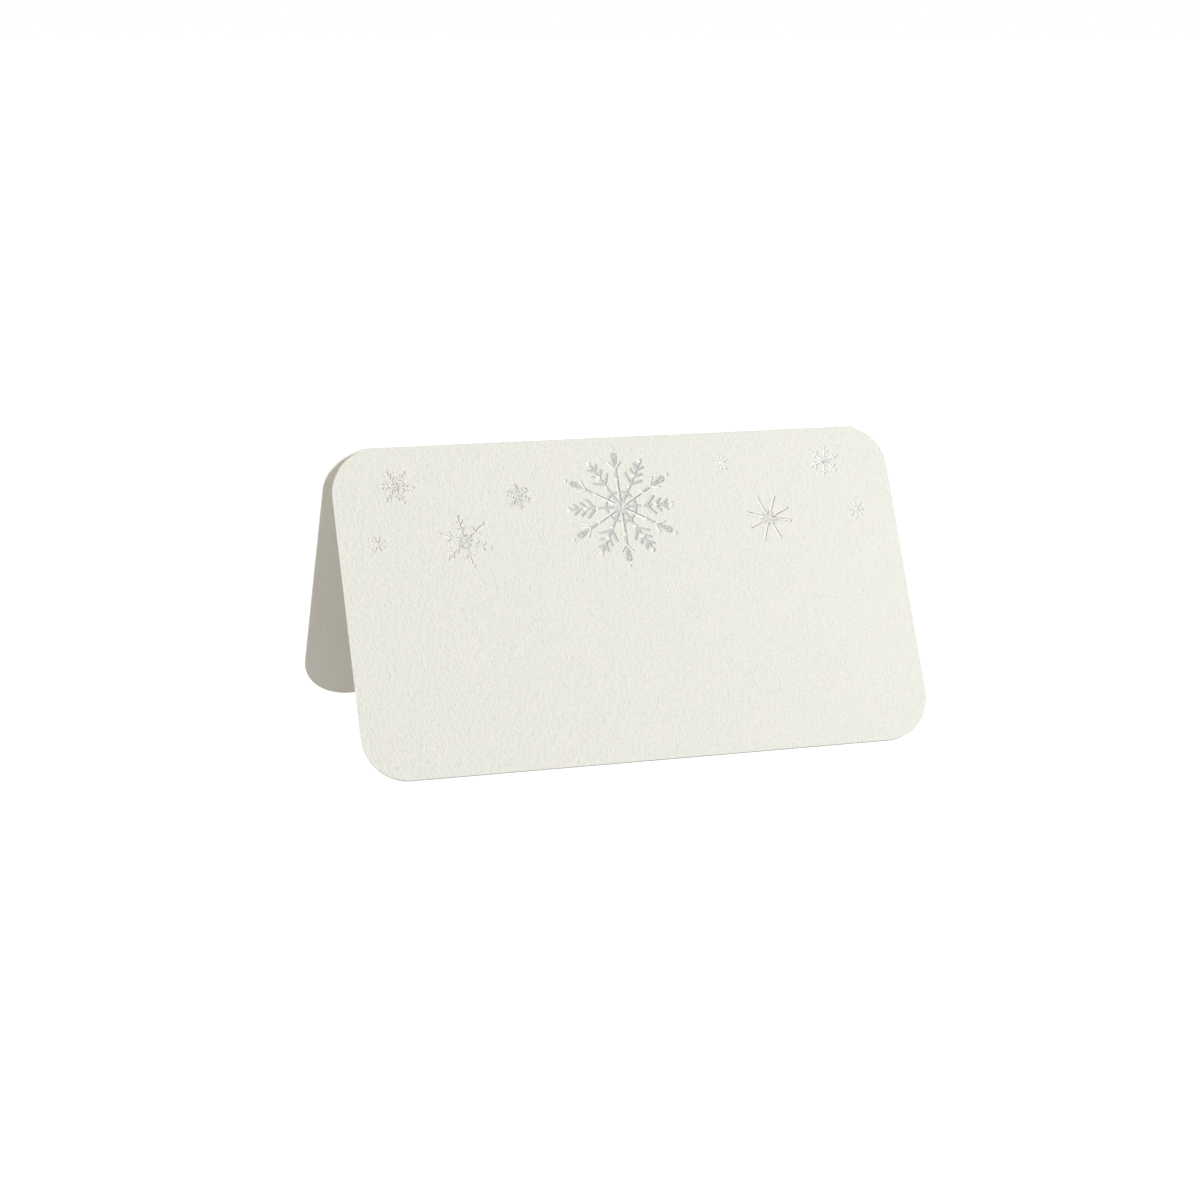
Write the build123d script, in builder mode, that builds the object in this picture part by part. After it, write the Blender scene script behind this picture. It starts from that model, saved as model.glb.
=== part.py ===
from build123d import *
from dataclasses import dataclass
from math import atan2, cos, degrees, radians, sin, sqrt, tan
import os

# Place card: one sheet of felt-marked cover card, folded once into a tent, with a frieze of raised snowflakes
# near the fold of its front leaf. Millimetres and degrees. X runs along the fold, the front leaf faces -Y and
# Z points up. The origin lies on the table, midway between the two feet.

# Sheet
CARD_WIDTH = 88.9
LEAF_HEIGHT = 50.8              # along the sheet, from the fold line to the foot
CARD_THICKNESS = 0.42
FOLD_INNER_RADIUS = 0.3
LEAF_LEAN = 28.85               # of each leaf from upright

# Rounded corners, which were cut a little unevenly
LEFT_FOLD_END_RADIUS = 7.5
RIGHT_FOLD_END_RADIUS = 6.5
FRONT_LEFT_FOOT_RADIUS = 6.8
FRONT_RIGHT_FOOT_RADIUS = 7.5
BACK_LEFT_FOOT_RADIUS = 7.8
BACK_RIGHT_FOOT_RADIUS = 7.5

# Raised print: heights above the front leaf's face
FOIL_HEIGHT = 0.06
PEARL_HEIGHT = 0.14
GLUE_HEIGHT = 0.16
FLECK_THICKNESS = 0.04

# Large star, in silver foil with pearl strokes and beads
STAR_REACH = 9.4
STAR_TURN = 0.5                 # of its arms, anticlockwise on the leaf
WEB_RADIUS = 2.42
WEB_WIDTH = 0.42
WEB_SIDES = 12
FOIL_SHAFT_WIDTH = 0.46
FOIL_STROKE_WIDTH = 0.42
LOOP_RADIUS = 0.52
LOOP_HOLE_RADIUS = 0.13
STAR_PEARL_WIDTH = 0.38
STAR_PEARL_SHIFT = 0.12         # to the left, out of register with the foil
SHAFT_BEAD_RADIUS = 0.34
POINT_BEAD_RADIUS = 0.3
STEM_BEAD_RADIUS = 0.28
FORK_BEAD_RADIUS = 0.38
STAR_GLITTER_RADIUS = 1.15

# Shares of the star's reach along its pointed arms and its fir arms
SHAFT_ROOT_SHARE = 0.11
SHAFT_BEAD_SHARE = 0.463
LOOP_NECK_SHARE = 0.66
LOOP_SHARE = 0.872
STEM_BEAD_SHARE = 0.389
FORK_BEAD_SHARE = 0.594
FIR_TIP_SHARE = 0.872

# Root and tip of each pair of side branches along an arm and their spread across it, as shares of the reach
STAR_V_SHARES = ((0.633, 0.761, 0.099),)
FIR_FORK_SHARES = ((0.436, 0.568, 0.145), (0.580, 0.674, 0.102), (0.705, 0.790, 0.077))

# Small snowflakes, all in pearl: reach from the centre, turn of the first arm and width of the strokes
FERN_REACH = 2.72
FERN_TURN = -6.4
FERN_STROKE_WIDTH = 0.32
FERN_BEAD_RADIUS = 0.26
FERN_GLITTER_RADIUS = 0.85
FERN_FORK_SHARES = ((0.35, 0.51, 0.20), (0.57, 0.73, 0.16))

BRANCH_REACH = 3.95
BRANCH_TURN = -18.7
BRANCH_STROKE_WIDTH = 0.34
BRANCH_BEAD_RADIUS = 0.3
BRANCH_GLITTER_RADIUS = 1.15
BRANCH_FULL_FORK_SHARES = ((0.38, 0.53, 0.13), (0.66, 0.80, 0.145))
BRANCH_BARE_FORK_SHARES = ((0.51, 0.64, 0.18),)

CRYSTAL_REACH = 1.82
CRYSTAL_TURN = -20.9
CRYSTAL_STROKE_WIDTH = 0.33
CRYSTAL_GLITTER_RADIUS = 1.05
CRYSTAL_FORK_SHARES = ((0.50, 0.70, 0.22), (0.78, 0.96, 0.17))

BURST_REACH = 3.5
BURST_STROKE_WIDTH = 0.4
BURST_BEAD_RADIUS = 0.25
BURST_GLITTER_RADIUS = 1.2
BURST_RAY_TURNS = (24.6, 67.9, 113.7, 164.0, 203.6, 250.0, 293.3, 350.2)

WHEEL_REACH = 2.4
WHEEL_TURN = 19.1
WHEEL_STROKE_WIDTH = 0.34
WHEEL_RING_RADIUS = 0.62
WHEEL_RING_WIDTH = 0.24
WHEEL_BEAD_RADIUS = 0.15
WHEEL_GLITTER_RADIUS = 0.42
WHEEL_FORK_SHARES = ((0.65, 0.72, 0.20),)

SPARK_RAYS = 8
SPARK_STROKE_WIDTH = 0.27
LEFT_SPARK_REACH = 1.15
LEFT_SPARK_TURN = 20.0
HIGH_SPARK_REACH = 1.05
HIGH_SPARK_TURN = 30.0
RIGHT_SPARK_REACH = 1.28
RIGHT_SPARK_TURN = 0.0

# Places of the snowflakes: share of half the card's width from the middle, share of the leaf's height below
# the fold
PLACE_SHARES = {
    "star": (-0.006, 0.222),
    "fern": (-0.788, 0.124),
    "branch": (-0.571, 0.301),
    "crystal": (-0.368, 0.172),
    "left spark": (-0.870, 0.296),
    "burst": (0.524, 0.282),
    "wheel": (0.764, 0.109),
    "high spark": (0.383, 0.100),
    "right spark": (0.854, 0.270),
}

# Glitter: small six-sided flecks set in a drop of clear glue
FLECK_RADIUS = 0.13
FLECK_PITCH = 0.3
FLECK_SIDES = 6
GOLDEN_ANGLE = 137.508

# Facets of the small round forms
STROKE_END_SIDES = 8
BEAD_SIDES = 8
LOOP_SIDES = 12
DROP_SIDES = 12

ARMS = 6
OVERRUN = 1.0                   # of every cutting solid past what it cuts

# Worked out from the sizes above
fold_outer_radius = FOLD_INNER_RADIUS + CARD_THICKNESS
fold_turn = 90 - LEAF_LEAN
fold_run = (FOLD_INNER_RADIUS + CARD_THICKNESS / 2) * radians(fold_turn)
leaf_run = LEAF_HEIGHT - fold_run
fold_centre_height = leaf_run * cos(radians(LEAF_LEAN)) - FOLD_INNER_RADIUS * sin(radians(LEAF_LEAN))
crown_rise = fold_outer_radius * cos(radians(LEAF_LEAN)) - fold_run

leaf_normal = Vector(0, -cos(radians(LEAF_LEAN)), sin(radians(LEAF_LEAN)))
leaf_upwards = Vector(0, sin(radians(LEAF_LEAN)), cos(radians(LEAF_LEAN)))
fold_centre = Vector(0, 0, fold_centre_height)

# The front leaf's outer face, with its origin where the fold line would lie on the flat sheet
front_face = Plane(
    origin=fold_centre + leaf_normal * fold_outer_radius + leaf_upwards * fold_run,
    x_dir=(1, 0, 0),
    z_dir=leaf_normal,
)


def make_leaf(left_foot_radius, right_foot_radius):
    """One leaf with its half of the bend, as it stands at the front."""
    with BuildPart() as leaf:
        with BuildSketch(Plane.YZ):
            with BuildLine():
                outer = CenterArc((0, fold_centre_height), fold_outer_radius, 90, fold_turn)
                inner = CenterArc((0, fold_centre_height), FOLD_INNER_RADIUS, 90, fold_turn)
                outer_run = Line(outer @ 1, outer @ 1 + (outer % 1) * leaf_run)
                inner_run = Line(inner @ 1, inner @ 1 + (inner % 1) * leaf_run)
                Line(outer_run @ 1, inner_run @ 1)
                Line(outer @ 0, inner @ 0)
            make_face()
        extrude(amount=CARD_WIDTH / 2, both=True)
        with BuildSketch(front_face.offset(OVERRUN)):
            with BuildLine():
                FilletPolyline(
                    (-CARD_WIDTH / 2, -LEAF_HEIGHT),
                    (CARD_WIDTH / 2, -LEAF_HEIGHT),
                    (CARD_WIDTH / 2, crown_rise),
                    (-CARD_WIDTH / 2, crown_rise),
                    radius=(left_foot_radius, right_foot_radius, RIGHT_FOLD_END_RADIUS, LEFT_FOLD_END_RADIUS),
                    close=True,
                )
            make_face()
        extrude(amount=-(OVERRUN + fold_outer_radius + CARD_THICKNESS), mode=Mode.INTERSECT)
    return leaf.part


# Strokes of the print, drawn on the leaf's face in the sketch that is open

def place(name):
    """Centre of a named snowflake on the front leaf's face."""
    across_share, down_share = PLACE_SHARES[name]
    return (across_share * CARD_WIDTH / 2, -down_share * LEAF_HEIGHT)


def stroke(start, end, width):
    """Blunt-ended stroke between two points, each along an arm and across it."""
    run = Vector(*end) - Vector(*start)
    middle = (Vector(*start) + Vector(*end)) / 2
    half_width = width / 2
    half_flat = half_width * tan(radians(180 / STROKE_END_SIDES))
    half_side = run.length / 2 + half_flat
    half_length = run.length / 2 + half_width
    with Locations((middle.X, middle.Y)):
        Polygon(
            (half_length, half_flat),
            (half_side, half_width),
            (-half_side, half_width),
            (-half_length, half_flat),
            (-half_length, -half_flat),
            (-half_side, -half_width),
            (half_side, -half_width),
            (half_length, -half_flat),
            rotation=degrees(atan2(run.Y, run.X)),
            align=None,
        )


def bead(along, radius):
    """Round dot on an arm."""
    with Locations((along, 0)):
        RegularPolygon(radius, BEAD_SIDES)


def forks(reach, fork_shares, width):
    """Pairs of side branches that slant outwards from an arm."""
    for root_share, tip_share, spread_share in fork_shares:
        for side in (-1, 1):
            stroke((root_share * reach, 0), (tip_share * reach, side * spread_share * reach), width)


def arms(turn, count=ARMS):
    """Locations of a snowflake's arms, each with its own x along the arm."""
    return PolarLocations(0, count, start_angle=turn)


# The large star. Its pointed arms lie halfway between its fir arms

def star_foil():
    """Silver parts of the star: fir arms, web, shafts and loops."""
    neck = LOOP_NECK_SHARE * STAR_REACH
    loop = LOOP_SHARE * STAR_REACH
    with Locations(place("star")):
        RegularPolygon(WEB_RADIUS + WEB_WIDTH / 2, WEB_SIDES, rotation=STAR_TURN)
        RegularPolygon(WEB_RADIUS - WEB_WIDTH / 2, WEB_SIDES, rotation=STAR_TURN, mode=Mode.SUBTRACT)
        with arms(STAR_TURN):
            stroke((0, 0), (FIR_TIP_SHARE * STAR_REACH, 0), FOIL_STROKE_WIDTH)
            forks(STAR_REACH, FIR_FORK_SHARES, FOIL_STROKE_WIDTH)
        with arms(STAR_TURN + 180 / ARMS):
            stroke((0, 0), (neck, 0), FOIL_SHAFT_WIDTH)
            with Locations((loop, 0)):
                RegularPolygon(LOOP_RADIUS, LOOP_SIDES)
            Polygon(
                (neck, FOIL_SHAFT_WIDTH / 2),
                (loop, LOOP_RADIUS),
                (loop, -LOOP_RADIUS),
                (neck, -FOIL_SHAFT_WIDTH / 2),
                align=None,
            )
            with Locations((loop, 0)):
                RegularPolygon(LOOP_HOLE_RADIUS, BEAD_SIDES, mode=Mode.SUBTRACT)


def star_pearl():
    """Pearl parts of the star: shafts with a bead, open Vs and the beads of the points and fir arms."""
    across, upwards = place("star")
    with Locations((across - STAR_PEARL_SHIFT, upwards)):
        with arms(STAR_TURN + 180 / ARMS):
            root = SHAFT_ROOT_SHARE * STAR_REACH
            shaft_bead = SHAFT_BEAD_SHARE * STAR_REACH
            stroke((root, 0), (shaft_bead, 0), STAR_PEARL_WIDTH)
            bead(shaft_bead, SHAFT_BEAD_RADIUS)
            forks(STAR_REACH, STAR_V_SHARES, STAR_PEARL_WIDTH)
            bead(STAR_REACH, POINT_BEAD_RADIUS)
        with arms(STAR_TURN):
            bead(STEM_BEAD_SHARE * STAR_REACH, STEM_BEAD_RADIUS)
            bead(FORK_BEAD_SHARE * STAR_REACH, FORK_BEAD_RADIUS)
            bead(FIR_TIP_SHARE * STAR_REACH, FORK_BEAD_RADIUS)


# The small snowflakes, each as the pearl strokes of all its arms

def fern():
    """Six arms with two pairs of side branches and a bead at the tip."""
    with Locations(place("fern")):
        with arms(FERN_TURN):
            stroke((0, 0), (FERN_REACH, 0), FERN_STROKE_WIDTH)
            forks(FERN_REACH, FERN_FORK_SHARES, FERN_STROKE_WIDTH)
            bead(FERN_REACH, FERN_BEAD_RADIUS)


def branch():
    """Six beaded arms, with two pairs of side branches and one pair in turn."""
    with Locations(place("branch")):
        with arms(BRANCH_TURN):
            stroke((0, 0), (BRANCH_REACH, 0), BRANCH_STROKE_WIDTH)
            bead(BRANCH_REACH, BRANCH_BEAD_RADIUS)
        with arms(BRANCH_TURN, ARMS // 2):
            forks(BRANCH_REACH, BRANCH_FULL_FORK_SHARES, BRANCH_STROKE_WIDTH)
        with arms(BRANCH_TURN + 360 / ARMS, ARMS // 2):
            forks(BRANCH_REACH, BRANCH_BARE_FORK_SHARES, BRANCH_STROKE_WIDTH)


def crystal():
    """Six short arms, thick with side branches."""
    with Locations(place("crystal")):
        with arms(CRYSTAL_TURN):
            stroke((0, 0), (CRYSTAL_REACH, 0), CRYSTAL_STROKE_WIDTH)
            forks(CRYSTAL_REACH, CRYSTAL_FORK_SHARES, CRYSTAL_STROKE_WIDTH)


def burst():
    """Plain rays with rounded tips, spaced a little unevenly."""
    with Locations(place("burst")):
        for turn in BURST_RAY_TURNS:
            with arms(turn, 1):
                stroke((0, 0), (BURST_REACH, 0), BURST_STROKE_WIDTH)
                bead(BURST_REACH, BURST_BEAD_RADIUS)


def wheel():
    """Barbed arms around a ring with a small bead between each two arms."""
    with Locations(place("wheel")):
        with arms(WHEEL_TURN):
            stroke((WHEEL_RING_RADIUS, 0), (WHEEL_REACH, 0), WHEEL_STROKE_WIDTH)
            forks(WHEEL_REACH, WHEEL_FORK_SHARES, WHEEL_STROKE_WIDTH)
        with arms(WHEEL_TURN + 180 / ARMS):
            bead(WHEEL_RING_RADIUS + WHEEL_RING_WIDTH / 2, WHEEL_BEAD_RADIUS)
        RegularPolygon(WHEEL_RING_RADIUS + WHEEL_RING_WIDTH / 2, DROP_SIDES, rotation=WHEEL_TURN)
        RegularPolygon(
            WHEEL_RING_RADIUS - WHEEL_RING_WIDTH / 2, DROP_SIDES, rotation=WHEEL_TURN, mode=Mode.SUBTRACT
        )


def spark(name, reach, turn):
    """Smallest kind: plain short rays."""
    with Locations(place(name)):
        with arms(turn, SPARK_RAYS):
            stroke((0, 0), (reach, 0), SPARK_STROKE_WIDTH)


# Glitter

@dataclass(frozen=True)
class Cluster:
    """Drop of glue with flecks, on the hub of a snowflake."""
    name: str
    radius: float

    def fleck_places(self):
        """Places of the flecks on a spiral that spreads them evenly over the drop."""
        count = max(1, round((self.radius / FLECK_PITCH) ** 2))
        centre = place(self.name)
        places = []
        for index in range(count):
            distance = (self.radius - FLECK_RADIUS) * sqrt((index + 1 / 2) / count)
            angle = radians(index * GOLDEN_ANGLE)
            places.append((centre[0] + distance * cos(angle), centre[1] + distance * sin(angle)))
        return places


CLUSTERS = (
    Cluster("star", STAR_GLITTER_RADIUS),
    Cluster("fern", FERN_GLITTER_RADIUS),
    Cluster("branch", BRANCH_GLITTER_RADIUS),
    Cluster("crystal", CRYSTAL_GLITTER_RADIUS),
    Cluster("burst", BURST_GLITTER_RADIUS),
    Cluster("wheel", WHEEL_GLITTER_RADIUS),
)


# The folded sheet

front_leaf = make_leaf(FRONT_LEFT_FOOT_RADIUS, FRONT_RIGHT_FOOT_RADIUS)
back_leaf = mirror(make_leaf(BACK_LEFT_FOOT_RADIUS, BACK_RIGHT_FOOT_RADIUS), about=Plane.XZ)

with BuildPart() as card:
    add(front_leaf)
    add(back_leaf)

# Silver foil, on the card's face

with BuildPart() as silver_foil:
    with BuildSketch(front_face):
        star_foil()
    extrude(amount=FOIL_HEIGHT)

# Pearl relief, on the card's face and over the foil

with BuildPart() as pearl_relief:
    with BuildSketch(front_face):
        star_pearl()
        fern()
        branch()
        crystal()
        burst()
        wheel()
        spark("left spark", LEFT_SPARK_REACH, LEFT_SPARK_TURN)
        spark("high spark", HIGH_SPARK_REACH, HIGH_SPARK_TURN)
        spark("right spark", RIGHT_SPARK_REACH, RIGHT_SPARK_TURN)
    extrude(amount=PEARL_HEIGHT)
    add(silver_foil.part, mode=Mode.SUBTRACT)

# Glitter, glued over the hubs of the larger snowflakes

with BuildPart() as glitter:
    with BuildSketch(front_face):
        for cluster in CLUSTERS:
            with Locations(place(cluster.name)):
                RegularPolygon(cluster.radius, DROP_SIDES)
    extrude(amount=GLUE_HEIGHT)
    add(silver_foil.part, mode=Mode.SUBTRACT)
    add(pearl_relief.part, mode=Mode.SUBTRACT)
    with BuildSketch(front_face.offset(GLUE_HEIGHT)):
        for cluster in CLUSTERS:
            with Locations(*cluster.fleck_places()):
                RegularPolygon(FLECK_RADIUS, FLECK_SIDES)
    extrude(amount=FLECK_THICKNESS)

os.makedirs("parts", exist_ok=True)

card.part.label = "card"
export_step(card.part, "parts/card.step")

silver_foil.part.label = "silver_foil"
export_step(silver_foil.part, "parts/silver_foil.step")

pearl_relief.part.label = "pearl_relief"
export_step(pearl_relief.part, "parts/pearl_relief.step")

glitter.part.label = "glitter"
export_step(glitter.part, "parts/glitter.step")
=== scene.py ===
import logging
import math
from abc import ABC, abstractmethod
from dataclasses import dataclass, field
from enum import Enum
from typing import ClassVar, Mapping, Optional, Sequence, Union

import bmesh
import bpy
from mathutils import Matrix, Vector


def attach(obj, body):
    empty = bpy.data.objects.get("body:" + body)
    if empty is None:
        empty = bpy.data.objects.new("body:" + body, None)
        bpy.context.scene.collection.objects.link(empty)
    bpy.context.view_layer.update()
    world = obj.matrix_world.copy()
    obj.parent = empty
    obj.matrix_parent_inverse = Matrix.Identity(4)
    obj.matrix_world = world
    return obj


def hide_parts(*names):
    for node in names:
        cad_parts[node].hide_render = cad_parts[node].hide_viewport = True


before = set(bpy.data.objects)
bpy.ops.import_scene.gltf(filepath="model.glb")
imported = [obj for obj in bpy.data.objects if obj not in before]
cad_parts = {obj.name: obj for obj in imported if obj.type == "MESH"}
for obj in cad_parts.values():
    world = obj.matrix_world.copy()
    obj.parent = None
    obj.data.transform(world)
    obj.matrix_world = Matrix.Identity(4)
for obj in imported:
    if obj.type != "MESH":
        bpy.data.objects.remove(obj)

logging.basicConfig(level=logging.INFO, format="%(name)s: %(message)s")
log = logging.getLogger("place_card")

MM = 0.001
BODY = "root"
FAR_OFF = (31.0, 7.0, 3.0)
RING_SIDES = 16

Socket = bpy.types.NodeSocket
Point = tuple[float, float]
Colour = tuple[float, float, float]
Shares = tuple[tuple[float, float, float], ...]


class Slot(Enum):
    """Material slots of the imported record."""

    CARD_STOCK = "card_stock"
    SILVER_FOIL = "silver_foil"
    PEARL_INK = "pearl_ink"
    GLITTER = "glitter"


class Port(Enum):
    """Kinds of sockets on the face of a node tree."""

    NUMBER = "NodeSocketFloat"
    COUNT = "NodeSocketInt"
    VECTOR = "NodeSocketVector"
    SHAPE = "NodeSocketGeometry"
    FINISH = "NodeSocketMaterial"


# Node trees


@dataclass(frozen=True)
class Field:
    """A number that a node tree works out, with the arithmetic that adds its nodes."""

    graph: "Graph"
    socket: Socket

    def _math(self, operation: str, *others: "Feed") -> "Field":
        """Joins this number with the others that follow it in one Math node."""
        node = self.graph.add("ShaderNodeMath", dict(enumerate((self, *others))), operation=operation)
        return Field(self.graph, node.outputs[0])

    def __add__(self, other: "Feed") -> "Field":
        """Sum."""
        return self._math("ADD", other)

    def __sub__(self, other: "Feed") -> "Field":
        """Difference."""
        return self._math("SUBTRACT", other)

    def __mul__(self, other: "Feed") -> "Field":
        """Product."""
        return self._math("MULTIPLY", other)

    def __truediv__(self, other: "Feed") -> "Field":
        """Quotient."""
        return self._math("DIVIDE", other)

    def __pow__(self, other: "Feed") -> "Field":
        """Power."""
        return self._math("POWER", other)

    def at_least(self, other: "Feed") -> "Field":
        """The larger of the two."""
        return self._math("MAXIMUM", other)

    def at_most(self, other: "Feed") -> "Field":
        """The smaller of the two."""
        return self._math("MINIMUM", other)

    def above(self, other: "Feed") -> "Field":
        """One where this is the larger, and zero elsewhere."""
        return self._math("GREATER_THAN", other)

    def root(self) -> "Field":
        """Square root."""
        return self._math("SQRT")

    def size(self) -> "Field":
        """Absolute value."""
        return self._math("ABSOLUTE")

    def sign(self) -> "Field":
        """Minus one, zero or one."""
        return self._math("SIGN")

    def sine(self) -> "Field":
        """Sine of an angle in radians."""
        return self._math("SINE")

    def cosine(self) -> "Field":
        """Cosine of an angle in radians."""
        return self._math("COSINE")

    def between(self, low: float, high: float) -> "Field":
        """Runs smoothly from zero to one as this number goes from low to high."""
        feeds = {"Value": self, "From Min": low, "From Max": high, "To Min": 0.0, "To Max": 1.0}
        ramp = self.graph.add("ShaderNodeMapRange", feeds, interpolation_type="SMOOTHSTEP")
        return Field(self.graph, ramp.outputs[0])


Feed = Union[Field, Socket, float, int, bool, str, Sequence[float], bpy.types.Material]
Feeds = Mapping[Union[str, int], Feed]


class Graph:
    """Builder of one node tree."""

    def __init__(self, tree: bpy.types.NodeTree) -> None:
        """Takes the tree that is built."""
        self.tree = tree

    def add(self, kind: str, feeds: Optional[Feeds] = None, **settings: object) -> bpy.types.Node:
        """Adds a node.

        Args:
            kind: the node's type.
            feeds: what goes into its sockets, by name or by place.
            settings: the node's own properties.

        Returns:
            The node.
        """
        node = self.tree.nodes.new(kind)
        for name, value in settings.items():
            setattr(node, name, value)
        for key, value in (feeds or {}).items():
            self.feed(self.socket(node.inputs, key), value)
        return node

    @staticmethod
    def socket(sockets: Sequence[Socket], key: Union[str, int]) -> Socket:
        """The shown socket of that name, or the socket at that place."""
        if isinstance(key, int):
            return sockets[key]
        return next(socket for socket in sockets if socket.enabled and socket.name == key)

    def feed(self, socket: Socket, value: Feed) -> None:
        """Links a socket, or sets its value.

        Args:
            socket: the socket that takes the value.
            value: a field, another socket or a plain value.
        """
        if isinstance(value, Field):
            value = value.socket
        if isinstance(value, bpy.types.NodeSocket):
            self.tree.links.new(value, socket)
        else:
            socket.default_value = value

    def out(self, node: bpy.types.Node, key: Union[str, int] = 0) -> Field:
        """A node's output as a field."""
        return Field(self, self.socket(node.outputs, key))

    def parts_of(self, vector: Feed) -> tuple[Field, Field, Field]:
        """The three numbers of a vector."""
        node = self.add("ShaderNodeSeparateXYZ", {0: vector})
        return self.out(node, 0), self.out(node, 1), self.out(node, 2)

    def vector(self, x: Feed = 0.0, y: Feed = 0.0, z: Feed = 0.0) -> Socket:
        """A vector of three numbers."""
        return self.add("ShaderNodeCombineXYZ", {0: x, 1: y, 2: z}).outputs[0]

    def vector_math(self, operation: str, first: Feed, second: Feed) -> Socket:
        """Joins two vectors in one Vector Math node."""
        return self.add("ShaderNodeVectorMath", {0: first, 1: second}, operation=operation).outputs[0]

    def scaled(self, vector: Feed, scale: Feed) -> Socket:
        """A vector times a number."""
        return self.add("ShaderNodeVectorMath", {0: vector, "Scale": scale}, operation="SCALE").outputs[0]

    def noise(
        self, vector: Feed, scale: Feed, detail: float = 2.0, roughness: float = 0.5, warp: float = 0.0
    ) -> Field:
        """Smooth noise around one half, with finer layers of a given strength, pushed about by the warp."""
        feeds = {"Vector": vector, "Scale": scale, "Detail": detail, "Roughness": roughness}
        return self.out(self.add("ShaderNodeTexNoise", feeds | {"Distortion": warp}))


def emptied(owner: Union[bpy.types.Material, bpy.types.World]) -> Graph:
    """The emptied node tree of a material or a world."""
    owner.use_nodes = True
    owner.node_tree.nodes.clear()
    return Graph(owner.node_tree)


def placed(name: str, data: Union[bpy.types.Mesh, bpy.types.Light, bpy.types.Camera]) -> bpy.types.Object:
    """A new object with that data, in the scene."""
    made = bpy.data.objects.new(name, data)
    bpy.context.scene.collection.objects.link(made)
    return made


class Group(Graph):
    """A node tree with named inputs and outputs of its own."""

    def __init__(self, name: str, kind: str) -> None:
        """Starts an empty group.

        Args:
            name: the group's name.
            kind: the type of its tree.
        """
        super().__init__(bpy.data.node_groups.new(name, kind))
        self.entry = self.tree.nodes.new("NodeGroupInput")
        self.exit = self.tree.nodes.new("NodeGroupOutput")

    def takes(self, name: str, port: Port) -> Field:
        """Adds a named input, and gives it as a field."""
        self.tree.interface.new_socket(name=name, in_out="INPUT", socket_type=port.value)
        return Field(self, self.entry.outputs[name])

    def numbers(self, *names: str) -> list[Field]:
        """Adds named inputs that each take a number."""
        return [self.takes(name, Port.NUMBER) for name in names]

    def gives(self, name: str, port: Port, value: Feed) -> None:
        """Adds a named output that gives a value."""
        self.tree.interface.new_socket(name=name, in_out="OUTPUT", socket_type=port.value)
        self.feed(self.exit.inputs[name], value)


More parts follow.
